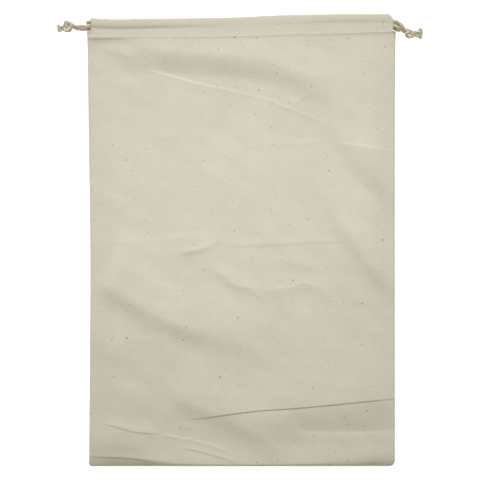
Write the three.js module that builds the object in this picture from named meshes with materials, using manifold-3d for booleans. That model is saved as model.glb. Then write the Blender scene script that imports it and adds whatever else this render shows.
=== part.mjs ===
// A cotton muslin ham bag lying flat on its back, with its mouth towards +Y.
// A front and a back panel are sewn together along the sides and the bottom. The top edge of each
// panel is folded inwards into a casing. Two drawcords run round both casings in opposite
// directions, and each has its two ends tied together in an overhand knot at its own side.
// Millimetres, +Z up. The origin is under the middle of the sewn bag, on the surface it rests on.
import * as THREE from "three";
import { mergeVertices } from "three/addons/utils/BufferGeometryUtils.js";
import Module from "manifold-3d";

// Cloth: one layer, and the clearance to the next layer of a stack
const CLOTH = 1;
const GAP = 0.4;
const LAYER = CLOTH + GAP;

// Sewn outline: the width, the side seams up the bag, the bottom seam and its corners
const WIDTH = 406;
const SIDE_SEAM = {
  left: [
    { y: -300, x: -202 },
    { y: -132, x: -200.7 },
    { y: -26, x: -200.2 },
    { y: 79, x: -201.4 },
    { y: 185, x: -203 },
    { y: 300, x: -204.2 },
  ],
  right: [
    { y: -300, x: 203.2 },
    { y: 0, x: 203.2 },
    { y: 200, x: 203.4 },
    { y: 300, x: 203.8 },
  ],
};
const BOTTOM = -299.5;
const CORNER_RADIUS = { left: 3.5, right: 7.5 };

// Mouth: the folded top edge, which slopes up to the right and drops at the right-hand corner
const TOP_EDGE = [
  { x: -204, y: 294.2 },
  { x: -187, y: 292.5 },
  { x: -121, y: 292.4 },
  { x: -55, y: 293 },
  { x: 0, y: 294.3 },
  { x: 42, y: 296.4 },
  { x: 117, y: 298.1 },
  { x: 204, y: 298.9 },
];
const CORNER_DROP = { from: 194.5, to: 201.5, depth: 6.6 };

// Row of stitches that closes the casing
const STITCH_LINE = [
  { x: -204, y: 266.4 },
  { x: -147, y: 266.6 },
  { x: -76, y: 266.9 },
  { x: 0, y: 268 },
  { x: 70, y: 270.4 },
  { x: 137, y: 272 },
  { x: 182, y: 273.7 },
  { x: 204, y: 274.3 },
];

// Casing: its ends short of the side seams, and the slits above the seams' ends, each as the share
// of the hem's depth where the cloth starts to lift and where the slit opens
const CASING_END = { left: -199.2, right: 200.4 };
const SLIT = { left: { lift: 0.2, open: 0.44 }, right: { lift: 0, open: 0.1 } };

// Tunnel of the casing, the share of it that lifts the front's outer layer, and the slack open mouth
const TUNNEL_RISE = 4.5;
const TUNNEL_FLOOR = 15;
const OUTER_BULGE = 0.25;
const MOUTH_GAP = 5.4;
const MOUTH_HALF_WIDTH = 200;

// Front panel: height of its middle surface down the bag
const BODY_LEVEL = [
  { y: -300, z: 6.4 },
  { y: -230, z: 7.3 },
  { y: -150, z: 8.8 },
  { y: 0, z: 10 },
  { y: 150, z: 10.4 },
  { y: 300, z: 10.4 },
];

// The line, as x and y, where the front panel steps down from the casing's height to the body's
const NECK_LINE = [
  [-210, 246], [-130, 238], [-48, 231], [15, 225], [77, 205], [117, 181], [137, 139], [160, 102], [204, 56],
];
const NECK_HALF_WIDTH = 17;
const NECK_DEPTH = 170;

// How the front panel rises from the sewn edges, and how far below the casing its seams step down
const EDGE_ROLL = { share: 0.4, reach: 4 };
const EDGE_REACH = { body: 34, neck: 12, bottom: 50 };
const SEAM_STEP = 25;

// Folds, from the top down. Each crest, as x and y, runs from left to right with its steep side below it.
const FOLDS = [
  {
    name: "right shoulder", height: 3.6, gentle: 50, steep: 17,
    crest: [[94, 97], [114, 64], [133, 32], [153, -1], [176, -30], [208, -64]],
  },
  {
    name: "packing crease", height: 1.2, gentle: 16, steep: 8,
    crest: [[-120, -18], [-88, -17], [-60, -13], [-40, -7], [-18, 1]],
  },
  {
    name: "middle crease", height: 1.5, gentle: 16, steep: 9,
    crest: [[-52, -22], [-26, -46], [2, -62], [55, -67], [93, -60], [122, -80]],
  },
  {
    name: "lower left swag", height: 3.6, gentle: 60, steep: 18,
    crest: [[-196, -48], [-141, -79], [-104, -100], [-68, -115], [-28, -126], [2, -148], [20, -183]],
  },
  {
    name: "left hollow", height: 1.6, gentle: 25, steep: 20,
    crest: [[-200, -128], [-161, -146], [-120, -166]],
  },
  {
    name: "bottom diagonal", height: 2.4, gentle: 30, steep: 13,
    crest: [[-108, -198], [-39, -225], [5, -245], [40, -267], [70, -290]],
  },
  {
    name: "bottom right crease", height: 2.6, gentle: 40, steep: 9,
    crest: [[-98, -242], [-11, -232], [77, -222], [204, -210]],
  },
  {
    name: "bottom left crease", height: 1.5, gentle: 9, steep: 11,
    crest: [[-200, -238], [-138, -253], [-108, -256], [-72, -263], [-35, -274], [4, -288]],
  },
];
const FOLD_FADE = 0.2;
const TRACE_STEPS = 4;

// Drawcords: thickness, how far below the top edge each lies in the front and the back casing, where
// the casings let go of them, and the turn of each at the far end from the front casing to the back,
// as shares of the way down, of its reach and of its loose drop
const CORD_RADIUS = 2.1;
const CORD_SIDES = 8;
const LEFT_CORD = { front: 10.5, back: 12.4 };
const RIGHT_CORD = { front: 4.6, back: 7.2 };
const CORD_ENTRY = { left: -197, right: 199 };
const FAR_TURN = [
  { share: 0.04, out: 0.55, drop: 0.3 },
  { share: 0.24, out: 0.9, drop: 0.8 },
  { share: 0.5, out: 1, drop: 1 },
  { share: 0.76, out: 0.9, drop: 1 },
  { share: 0.96, out: 0.55, drop: 0.5 },
];
const CORD_RUN_STEPS = 14;
const FREE_SPACING = 3;
const RING_START = new THREE.Vector3(0.1, 0.3, 1);

// Overhand knots: mean radius of the ring, its three lobes in two turns, its rise, how the two strands
// lie in it, where the ring is cut open, and the solid heart of pressed strands
const KNOT = { ring: 3.6, lobe: 1.8, lobesPerTurn: 1.5, rise: 1.8, spread: 1.1, lift: 0.9, cut: 0.75 };
const KNOT_STRAND = { radius: 1.9, lapRadius: 1.86, steps: 22, entry: 3 };
const KNOT_HEART = { radius: 4, around: 10, up: 6 };

// Free strands as x, y and z, from the casing to the knot and from the knot to the cut end
const LEFT_ROUTE = {
  outward: -1,
  farReach: 10.1,
  farDrop: 4.6,
  knot: { x: -230, y: 283.6, z: 6.4, along: 0.72, across: 1.3 },
  front: [[-205, 282.9, 10.2], [-213, 283, 9.2], [-220, 283.2, 8.3]],
  back: [[-204, 279.8, 3], [-212, 279.2, 2.9], [-219.5, 280.6, 4]],
  frontTail: [[-237, 282.6, 4.6], [-244.4, 282.2, 4]],
  backTail: [[-237, 279, 3.2], [-244.2, 279, 3.2]],
};
const RIGHT_ROUTE = {
  outward: 1,
  farReach: 7,
  farDrop: 0,
  knot: { x: 223, y: 272.6, z: 5.8, along: 0.76, across: 0.72 },
  front: [[206, 288.7, 10], [211.5, 284.6, 9.4], [216.2, 279.2, 8.2]],
  back: [[205, 287, 2.8], [209.4, 284.6, 2.5], [211.8, 281.2, 2.5], [213, 278.2, 2.6], [215.4, 276, 3.4]],
  frontTail: [[231.5, 275, 4.2], [238, 276.6, 3.2]],
  backTail: [[231.5, 271.2, 3], [237.6, 270, 2.8]],
};

// Mesh rows and columns: distances from a sewn edge, then the pitch inside, and shares of the casing
const EDGE_STATIONS = [0, 2.5, 7, 14, 26];
const COLUMN_PITCH = { front: 15.5, back: 31 };
const ROW_BANDS = {
  front: [{ upTo: -190, pitch: 9 }, { upTo: 130, pitch: 16 }, { upTo: 268, pitch: 11 }],
  back: [{ upTo: 268, pitch: 70 }],
};
const LAST_BODY_ROW = 0.99;
const CASING_ROWS = [0.03, 0.2, 0.33, 0.42, 0.46, 0.72, 1];
const BEND_ROWS = [0.2, 0.4, 0.6, 0.8];
const WELD = 1e-4;
const SLIVER = 0.05;

// Finishes
const MUSLIN = { color: 0xd9d2bd, roughness: 0.95, metalness: 0 };
const COTTON_CORD = { color: 0xd2cab6, roughness: 0.9, metalness: 0 };

const wasm = await Module();
wasm.setup();

const lerp = THREE.MathUtils.lerp;
const clamp = THREE.MathUtils.clamp;

function smooth(from, to, value) {
  const t = clamp((value - from) / (to - from), 0, 1);
  return t * t * (3 - 2 * t);
}

function curveThrough(rows, column, value) {
  const positions = rows.map((row) => row[column]);
  const values = rows.map((row) => row[value]);
  const interpolant = new THREE.CubicInterpolant(positions, values, 1);
  return (position) => interpolant.evaluate(position)[0];
}

// Outline
const hemLine = curveThrough(TOP_EDGE, "x", "y");
const topEdge = (x) => hemLine(x) - CORNER_DROP.depth * smooth(CORNER_DROP.from, CORNER_DROP.to, x);
const stitchLine = curveThrough(STITCH_LINE, "x", "y");

const sideSeam = { left: curveThrough(SIDE_SEAM.left, "y", "x"), right: curveThrough(SIDE_SEAM.right, "y", "x") };

function sideEdge(side, y) {
  const radius = CORNER_RADIUS[side];
  const short = radius - Math.min(y - BOTTOM, radius);
  const corner = radius - Math.sqrt(radius ** 2 - short ** 2);
  return sideSeam[side](y) + (side === "left" ? corner : -corner);
}

// Folds: signed distance from a crest, positive on its right-hand side, and the place along it
function traced(points) {
  const curve = new THREE.SplineCurve(points.map(([x, y]) => new THREE.Vector2(x, y)));
  const line = curve.getPoints(TRACE_STEPS * points.length);
  return (x, y) => {
    let nearest = { distance: Infinity };
    for (let i = 0; i + 1 < line.length; i += 1) {
      const start = line[i];
      const dx = line[i + 1].x - start.x;
      const dy = line[i + 1].y - start.y;
      const t = clamp(((x - start.x) * dx + (y - start.y) * dy) / (dx * dx + dy * dy), 0, 1);
      const offX = x - start.x - t * dx;
      const offY = y - start.y - t * dy;
      const distance = Math.hypot(offX, offY);
      if (distance < nearest.distance) {
        const side = dy * offX - dx * offY >= 0 ? distance : -distance;
        nearest = { distance, side, along: (i + t) / (line.length - 1) };
      }
    }
    return nearest;
  };
}

const folds = FOLDS.map((fold) => ({ ...fold, trace: traced(fold.crest) }));
const neck = traced(NECK_LINE);

function foldHeight(x, y) {
  return folds.reduce((sum, { height, gentle, steep, trace }) => {
    const { side, along } = trace(x, y);
    const fade = smooth(0, FOLD_FADE, along) * smooth(1, 1 - FOLD_FADE, along);
    return sum + height * fade * Math.exp(-((side / (side > 0 ? steep : gentle)) ** 2));
  }, 0);
}

// Heights of the middle surfaces
const bodyLevel = curveThrough(BODY_LEVEL, "y", "z");
const BACK_OUTER = CLOTH / 2;
const BACK_INNER = BACK_OUTER + LAYER;
const SEAM_LEVEL = { body: BACK_OUTER + LAYER, casing: BACK_OUTER + 3 * LAYER };
const mouthGap = (x) => MOUTH_GAP * (1 - Math.min(Math.abs(x) / MOUTH_HALF_WIDTH, 1) ** 3);
const frontInner = (x) => BACK_INNER + TUNNEL_RISE + LAYER + mouthGap(x);
const frontOuter = (x) => frontInner(x) + LAYER + TUNNEL_RISE * (1 - OUTER_BULGE);

function edgeRise(distance, reach) {
  const roll = EDGE_ROLL.share * (1 - Math.exp(-distance / EDGE_ROLL.reach));
  return roll + (1 - EDGE_ROLL.share) * smooth(0, reach, distance);
}

function frontBody(x, y) {
  const toStitch = stitchLine(x) - y;
  const neckShare = smooth(NECK_DEPTH, 0, toStitch);
  const reach = lerp(EDGE_REACH.body, EDGE_REACH.neck, neckShare);
  const fromSide = Math.min(x - sideEdge("left", y), sideEdge("right", y) - x);
  const rise = edgeRise(fromSide, reach) * edgeRise(y - BOTTOM, EDGE_REACH.bottom);
  const edge = lerp(SEAM_LEVEL.casing, SEAM_LEVEL.body, smooth(0, SEAM_STEP, toStitch));
  const above = smooth(NECK_HALF_WIDTH, -NECK_HALF_WIDTH, neck(x, y).side);
  const level = lerp(bodyLevel(y), frontOuter(x), above);
  return edge + (level - edge + foldHeight(x, y)) * rise;
}

// Casing: how far the tunnel stands open, and how far the side seams pinch its ends
function tunnelOpening(offset, depth) {
  return TUNNEL_RISE * smooth(depth, TUNNEL_FLOOR, offset);
}

function casingRise(x, y, share) {
  const free = (side) => smooth(SLIT[side].lift, SLIT[side].open, share);
  const left = lerp(edgeRise(x - sideEdge("left", y), EDGE_REACH.neck), 1, free("left"));
  const right = lerp(edgeRise(sideEdge("right", y) - x, EDGE_REACH.neck), 1, free("right"));
  return Math.min(left, right);
}

const casingLayers = {
  front: (x, rise, opening) => {
    const flat = SEAM_LEVEL.casing + (frontOuter(x) - SEAM_LEVEL.casing) * rise;
    const outer = flat + OUTER_BULGE * opening * rise;
    return { inner: outer - LAYER - opening * rise, outer };
  },
  back: (x, rise, opening) => ({ inner: BACK_INNER + opening * rise, outer: BACK_OUTER }),
};

// Rows of a panel, from the bottom seam up the body, over the casing's outer layer, round the fold
// of the top edge and back down the inner layer to the stitches
function panelRows(bodyHeights) {
  return [
    ...bodyHeights.map((height) => ({ part: "body", height })),
    ...CASING_ROWS.map((share) => ({ part: "outer", share })),
    ...BEND_ROWS.map((turn) => ({ part: "bend", share: 1, turn })),
    ...CASING_ROWS.toReversed().map((share) => ({ part: "inner", share })),
  ];
}

function rowEnds(row, y) {
  const inSlit = (side) => row.part !== "body" && row.share > SLIT[side].open;
  return {
    left: inSlit("left") ? CASING_END.left : sideEdge("left", y),
    right: inSlit("right") ? CASING_END.right : sideEdge("right", y),
  };
}

function bodyPoint(panel, row, across) {
  const ends = rowEnds(row, lerp(BOTTOM, stitchLine(0), row.height));
  const x = lerp(ends.left, ends.right, across);
  const y = lerp(BOTTOM, stitchLine(x), row.height);
  return new THREE.Vector3(x, y, panel === "front" ? frontBody(x, y) : BACK_OUTER);
}

function casingPoint(panel, row, across) {
  const ends = rowEnds(row, lerp(stitchLine(0), topEdge(0), row.share));
  const x = lerp(ends.left, ends.right, across);
  const depth = topEdge(x) - stitchLine(x);
  const bend = (LAYER + TUNNEL_RISE + CLOTH) / 2;
  const offset = lerp(depth, bend, row.share);
  const y = topEdge(x) - offset;
  const layers = casingLayers[panel](x, casingRise(x, y, row.share), tunnelOpening(offset, depth));
  if (row.part !== "bend") return new THREE.Vector3(x, y, layers[row.part]);
  const angle = Math.PI * row.turn;
  const middle = (layers.outer + layers.inner) / 2;
  const radius = (layers.outer - layers.inner) / 2;
  return new THREE.Vector3(x, y + Math.abs(radius) * Math.sin(angle), middle + radius * Math.cos(angle));
}

function closed(geometry) {
  geometry.deleteAttribute("normal");
  geometry.deleteAttribute("uv");
  const merged = mergeVertices(geometry, WELD);
  merged.computeVertexNormals();
  return merged;
}

// A sheet: a box of many cells bent so that its middle surface passes through a grid of points. It is
// mirrored and its faces are turned over, so that the cells are split along most of the folds.
function sheet(grid) {
  const rows = grid.length - 1;
  const columns = grid[0].length - 1;
  const geometry = new THREE.BoxGeometry(1, 1, 1, columns, rows, 1);
  const position = geometry.getAttribute("position");
  for (let i = 0; i < position.count; i += 1) {
    const column = Math.round((0.5 - position.getX(i)) * columns);
    const row = Math.round((position.getY(i) + 0.5) * rows);
    const right = grid[row][Math.min(column + 1, columns)];
    const above = grid[Math.min(row + 1, rows)][column];
    const across = right.clone().sub(grid[row][Math.max(column - 1, 0)]);
    const up = above.clone().sub(grid[Math.max(row - 1, 0)][column]);
    const normal = across.cross(up).normalize();
    const point = grid[row][column].clone().addScaledVector(normal, position.getZ(i) * CLOTH);
    position.setXYZ(i, point.x, point.y, point.z);
  }
  const corners = geometry.getIndex().array;
  for (let i = 0; i < corners.length; i += 3) {
    [corners[i], corners[i + 1]] = [corners[i + 1], corners[i]];
  }
  return closed(geometry);
}

function columnStations(pitch) {
  const inset = EDGE_STATIONS.at(-1);
  const count = Math.round((WIDTH - 2 * inset) / pitch);
  const inside = Array.from({ length: count - 1 }, (_, i) => lerp(inset, WIDTH - inset, (i + 1) / count));
  const far = EDGE_STATIONS.toReversed().map((station) => WIDTH - station);
  return [...EDGE_STATIONS, ...inside, ...far].map((station) => station / WIDTH);
}

function bodyStations(bands) {
  const length = stitchLine(0) - BOTTOM;
  const stations = [...EDGE_STATIONS];
  for (const { upTo, pitch } of bands) {
    const start = stations.at(-1);
    const span = upTo - BOTTOM - start;
    const count = Math.ceil(span / pitch);
    for (let i = 1; i <= count; i += 1) stations.push(start + (span * i) / count);
  }
  return stations.map((station) => station / length).filter((height) => height < LAST_BODY_ROW);
}

function panelGeometry(panel) {
  const columns = columnStations(COLUMN_PITCH[panel]);
  const rows = panelRows(bodyStations(ROW_BANDS[panel]));
  const pointOn = (row, across) => (row.part === "body" ? bodyPoint : casingPoint)(panel, row, across);
  return sheet(rows.map((row) => columns.map((across) => pointOn(row, across))));
}

// A cord: a cylinder of many rings bent along a list of points
function cord(points, radius) {
  const rings = points.length - 1;
  const geometry = new THREE.CylinderGeometry(radius, radius, 1, CORD_SIDES, rings);
  const tangents = points.map((_, i) => {
    const ahead = points[Math.min(i + 1, rings)];
    return ahead.clone().sub(points[Math.max(i - 1, 0)]).normalize();
  });
  const normals = [];
  tangents.forEach((tangent, i) => {
    const last = (i > 0 ? normals[i - 1] : RING_START).clone();
    normals.push(last.addScaledVector(tangent, -last.dot(tangent)).normalize());
  });
  const position = geometry.getAttribute("position");
  for (let i = 0; i < position.count; i += 1) {
    const ring = Math.round((0.5 - position.getY(i)) * rings);
    const binormal = tangents[ring].clone().cross(normals[ring]);
    const point = points[ring].clone();
    point.addScaledVector(normals[ring], position.getX(i)).addScaledVector(binormal, position.getZ(i));
    position.setXYZ(i, point.x, point.y, point.z);
  }
  return closed(geometry);
}

function solid(geometry) {
  const vertProperties = new Float32Array(geometry.getAttribute("position").array);
  const triVerts = new Uint32Array(geometry.getIndex().array);
  return new wasm.Manifold(new wasm.Mesh({ numProp: 3, vertProperties, triVerts }));
}

function outerShell(whole) {
  return whole.decompose().reduce((largest, shell) => (shell.volume() > largest.volume() ? shell : largest));
}

// Joins overlapping pieces, fills the pockets that they close off, and takes out slivers
function joined(geometries) {
  const whole = geometries.map(solid).reduce((sum, piece) => sum.add(piece));
  const { vertProperties, triVerts } = outerShell(outerShell(whole).simplify(SLIVER)).getMesh();
  const geometry = new THREE.BufferGeometry();
  geometry.setAttribute("position", new THREE.BufferAttribute(new Float32Array(vertProperties), 3));
  geometry.setIndex(new THREE.BufferAttribute(new Uint32Array(triVerts), 1));
  geometry.computeVertexNormals();
  return geometry;
}

function vectors(points) {
  return points.map(([x, y, z]) => new THREE.Vector3(x, y, z));
}

// One strand's turns of an overhand knot: a ring with three lobes, cut open at the lobe where the ends cross
function knotTurns({ knot, outward }, strand) {
  return Array.from({ length: KNOT_STRAND.steps + 1 }, (_, i) => {
    const angle = lerp(KNOT.cut, 4 * Math.PI - KNOT.cut, i / KNOT_STRAND.steps);
    const lobe = KNOT.lobesPerTurn * angle;
    const radius = KNOT.ring + KNOT.lobe * Math.cos(lobe) + strand * KNOT.spread;
    const x = knot.x + outward * knot.along * radius * Math.sin(angle);
    const y = knot.y + knot.across * radius * Math.cos(angle);
    const z = knot.z + KNOT.rise * Math.sin(lobe) + strand * KNOT.lift;
    return new THREE.Vector3(x, y, z);
  });
}

// The strands pressed together in the middle of a knot
function knotHeart({ knot }) {
  const geometry = new THREE.SphereGeometry(KNOT_HEART.radius, KNOT_HEART.around, KNOT_HEART.up);
  geometry.scale(knot.along, knot.across, 1).translate(knot.x, knot.y, knot.z);
  return closed(geometry);
}

// Bends a route of few points into a smooth line of evenly spaced points
function smoothLine(points) {
  const curve = new THREE.CatmullRomCurve3(points, false, "centripetal");
  return curve.getSpacedPoints(Math.max(2, Math.round(curve.getLength() / FREE_SPACING)));
}

// A cord's straight run through one casing, along the middle of the tunnel
const tunnelMiddle = (LAYER + TUNNEL_RISE) / 2;
const tunnelHeight = { front: (x) => frontInner(x) + tunnelMiddle, back: () => BACK_OUTER + tunnelMiddle };

function casingRun(offset, layer, from, to) {
  return Array.from({ length: CORD_RUN_STEPS + 1 }, (_, i) => {
    const x = lerp(from, to, i / CORD_RUN_STEPS);
    return new THREE.Vector3(x, topEdge(x) - offset, tunnelHeight[layer](x));
  });
}

// A cord's turn at the far end of the casings, from the front one down into the back one
function farTurn(start, end, { outward, farReach, farDrop }) {
  return FAR_TURN.map(({ share, out, drop }) => {
    const shift = new THREE.Vector3(-outward * farReach * out, -farDrop * drop, 0);
    return start.clone().lerp(end, share).add(shift);
  });
}

function drawcord(route, offsets, near, far) {
  const front = casingRun(offsets.front, "front", near, far);
  const back = casingRun(offsets.back, "back", far, near);
  const turn = farTurn(front.at(-1), back[0], route);
  const frontTurns = knotTurns(route, 1);
  const backTurns = knotTurns(route, -1);
  const freeFront = [front[0], ...vectors(route.front), ...frontTurns.slice(0, KNOT_STRAND.entry)];
  const freeBack = [back.at(-1), ...vectors(route.back), ...backTurns.slice(0, KNOT_STRAND.entry)];
  const run = [
    ...smoothLine(freeFront).toReversed(),
    ...front.slice(1),
    ...turn,
    ...back.slice(0, -1),
    ...smoothLine(freeBack),
  ];
  const pieces = [cord(run, CORD_RADIUS), knotHeart(route)];
  for (const [turns, tail] of [[frontTurns, route.frontTail], [backTurns, route.backTail]]) {
    const half = KNOT_STRAND.steps / 2;
    const end = smoothLine([...turns.slice(-KNOT_STRAND.entry), ...vectors(tail)]);
    pieces.push(cord(turns.slice(1, half + 1), KNOT_STRAND.radius));
    pieces.push(cord(turns.slice(half - 1, -1), KNOT_STRAND.lapRadius));
    pieces.push(cord(end, CORD_RADIUS));
  }
  return joined(pieces);
}

function part(name, geometry, finish) {
  const mesh = new THREE.Mesh(geometry, new THREE.MeshStandardMaterial(finish));
  mesh.name = name;
  return mesh;
}

const bag = new THREE.Group();
bag.add(
  part("front_panel", panelGeometry("front"), MUSLIN),
  part("back_panel", panelGeometry("back"), MUSLIN),
  part("drawcord_left", drawcord(LEFT_ROUTE, LEFT_CORD, CORD_ENTRY.left, CORD_ENTRY.right), COTTON_CORD),
  part("drawcord_right", drawcord(RIGHT_ROUTE, RIGHT_CORD, CORD_ENTRY.right, CORD_ENTRY.left), COTTON_CORD),
);

export default bag;
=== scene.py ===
"""A cotton muslin ham bag lying flat on its back: cloth, stitches, drawcords and a plain stage."""

import math

import bpy
import numpy as np
from bpy.props import FloatProperty, FloatVectorProperty, IntProperty, PointerProperty
from bpy.types import Operator, Panel, PropertyGroup
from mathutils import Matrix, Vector


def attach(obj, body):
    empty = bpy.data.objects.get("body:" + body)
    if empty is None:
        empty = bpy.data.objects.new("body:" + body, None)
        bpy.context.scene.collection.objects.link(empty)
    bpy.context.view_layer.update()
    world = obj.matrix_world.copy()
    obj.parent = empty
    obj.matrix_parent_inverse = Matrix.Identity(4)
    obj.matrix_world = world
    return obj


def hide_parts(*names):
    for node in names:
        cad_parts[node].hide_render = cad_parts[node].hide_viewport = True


bl_info = {
    "name": "Ham Bag",
    "version": (1, 0, 0),
    "blender": (4, 5, 0),
    "location": "3D View > Sidebar > Ham Bag",
    "description": "Dresses a muslin drawstring bag with cloth, stitches and cords",
    "category": "Add Mesh",
}

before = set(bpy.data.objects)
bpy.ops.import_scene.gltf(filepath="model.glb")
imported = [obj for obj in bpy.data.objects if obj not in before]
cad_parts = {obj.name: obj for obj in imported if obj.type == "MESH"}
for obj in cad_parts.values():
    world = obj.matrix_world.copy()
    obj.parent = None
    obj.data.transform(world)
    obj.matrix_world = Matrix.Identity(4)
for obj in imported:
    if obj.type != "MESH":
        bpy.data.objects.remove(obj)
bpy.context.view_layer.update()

# Unless a comment says otherwise, sizes are in millimetres, with the origin under the middle of the sewn bag.
MM = 0.001

# Stacked layers: the solid cloth and its clearance, which set the levels of the layers
SOLID_CLOTH = 1.0
LAYER = 1.4
BACK_OUTER = SOLID_CLOTH / 2
BACK_INNER = BACK_OUTER + LAYER

# Sewn outline: the width, the side seams up the bag as y and x, the bottom seam and its corners
WIDTH = 406.0
SIDE_SEAM = {
    "left": ((-300, -202), (-132, -200.7), (-26, -200.2), (79, -201.4), (185, -203), (300, -204.2)),
    "right": ((-300, 203.2), (0, 203.2), (200, 203.4), (300, 203.8)),
}
BOTTOM = -299.5
CORNER_RADIUS = {"left": 3.5, "right": 7.5}

# Folded top edge, as x and y, and the drop at its right-hand corner
TOP_EDGE = (
    (-204, 294.2), (-187, 292.5), (-121, 292.4), (-55, 293),
    (0, 294.3), (42, 296.4), (117, 298.1), (204, 298.9),
)
CORNER_DROP = {"start": 194.5, "end": 201.5, "depth": 6.6}

# Row of stitches that closes the casing, as x and y
STITCH_LINE = (
    (-204, 266.4), (-147, 266.6), (-76, 266.9), (0, 268), (70, 270.4), (137, 272), (182, 273.7), (204, 274.3),
)

# Casing: its ends short of the side seams, the slits above the seams' ends as shares of its depth, the rise
# of the tunnels and the share of it that shows outside, and the open mouth. A tunnel's floor, as x and depth
# below the top edge, sinks where the cords run straight past the dropped corner.
CASING_END = {"left": -199.2, "right": 200.4}
SLIT = {"left": {"lift": 0.2, "open": 0.44}, "right": {"lift": 0.0, "open": 0.1}}
TUNNEL_RISE = 4.5
TUNNEL_FLOOR = ((-204, 15), (165, 15), (186, 18.6), (194, 18.6), (198, 16.8), (204, 15))
OUTER_BULGE = 0.25
MOUTH_GAP = 5.4
MOUTH_HALF_WIDTH = 200.0

# Front panel: its height down the bag as y and z, the line where it steps down from the casing, and how far
# below the stitches its sides still rise as steeply as at the neck
BODY_LEVEL = ((-300, 6.4), (-230, 7.3), (-150, 8.8), (0, 10), (150, 10.4), (300, 10.4))
NECK_LINE = (
    (-210, 246), (-130, 238), (-48, 231), (15, 225), (77, 205), (117, 181), (137, 139), (160, 102), (204, 56),
)
NECK_DEPTH = 170.0

# Half the width of that step down, from its left-hand end at 0 to its right-hand end at 1, the share of
# the fall that is in the step, and the reach of the slope that takes up the rest
NECK_HALF_WIDTH = (
    (0, 36), (0.1, 30), (0.2, 18), (0.34, 17), (0.47, 18), (0.6, 20), (0.7, 40), (0.8, 32), (1, 18),
)
NECK_SHARE = 0.62
NECK_SLOPE = 90.0

# Rise from the sewn edges: the share in a quick roll, the reach of the roll, the sharp turn that is a share
# of it, and the reach of the slope that takes up the rest. Along the bottom the roll's reach changes, as x
# and reach. The seams step down from the casing's level to the body's.
EDGE_ROLL = {"body": 0.55, "neck": 0.92, "bottom": 0.9}
ROLL_REACH = {"body": 1.0, "neck": 0.6}
EDGE_TURN = {"reach": 0.4, "share": 0.25}
BOTTOM_ROLL_REACH = (
    (-204, 8.5), (-165, 8), (-128, 4), (-98, 1), (-70, 0.4), (-20, 0.25),
    (60, 0.3), (110, 0.5), (150, 1), (180, 3), (204, 5.5),
)
LEAST_REACH = 0.2
EDGE_REACH = {"body": 34.0, "neck": 12.0, "bottom": 60.0}
SEAM_STEP = 25.0
SEAM_LEVEL = {"body": 1.26, "casing": BACK_OUTER + 3 * LAYER}

# Main folds from the top down: name, height, width of the gentle side above, width of the steep side
# below, shares of the length that fade in and out, and the crest from left to right as x and y
FOLDS = (
    ("shoulder band", 2.3, 40, 15, 0.55, 0, ((120, 152), (148, 122), (168, 101), (188, 77), (206, 57))),
    ("right shoulder", 4.5, 50, 17, 0.6, 0,
     ((94, 97), (114, 64), (133, 32), (153, -1), (176, -30), (208, -64))),
    ("packing crease", 0.4, 16, 8, 0.4, 0.2, ((-120, -18), (-88, -17), (-60, -13), (-40, -7), (-18, 1))),
    ("middle crease", 0.7, 16, 9, 0.3, 0.3,
     ((-52, -22), (-26, -46), (2, -62), (55, -67), (93, -60), (122, -80))),
    ("lower left swag", 3.7, 60, 18, 0.1, 0.5,
     ((-196, -48), (-141, -79), (-104, -100), (-68, -115), (-28, -126), (2, -148), (20, -183))),
    ("low middle bank", 1.2, 30, 60, 0.4, 0.4, ((-60, -122), (-10, -128), (40, -134))),
    ("left hollow", 1.4, 25, 20, 0, 0.5, ((-210, -122), (-161, -146), (-120, -166))),
    ("bottom diagonal", 2.8, 45, 16, 0.25, 0.35,
     ((-108, -198), (-39, -225), (5, -245), (40, -267), (70, -290))),
    ("low left fall", 1.8, 130, 36, 0, 0.5, ((-210, -190), (-140, -195), (-60, -200))),
    ("bottom right crease", 2.7, 60, 27, 0.5, 0, ((-20, -236), (40, -228), (110, -220), (206, -210))),
    ("bottom left crease", 0.2, 9, 11, 0.2, 0.3,
     ((-200, -238), (-138, -253), (-108, -256), (-72, -263), (-35, -274), (4, -288))),
    ("left corner bank", 1.9, 26, 19, 0, 0.4, ((-210, -266), (-170, -268), (-130, -272), (-100, -276))),
    ("left corner fall", 1.2, 40, 12, 0, 0.5, ((-210, -287), (-170, -288), (-130, -292))),
    ("bottom roll", 1.6, 20, 3.5, 0.15, 0.3,
     ((-150, -292.5), (-100, -295.5), (-20, -297.5), (60, -297), (130, -293.5), (170, -289))),
    ("right corner fall", 1.0, 16, 10, 0.6, 0, ((90, -292), (130, -291), (165, -287), (206, -281))),
)

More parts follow.
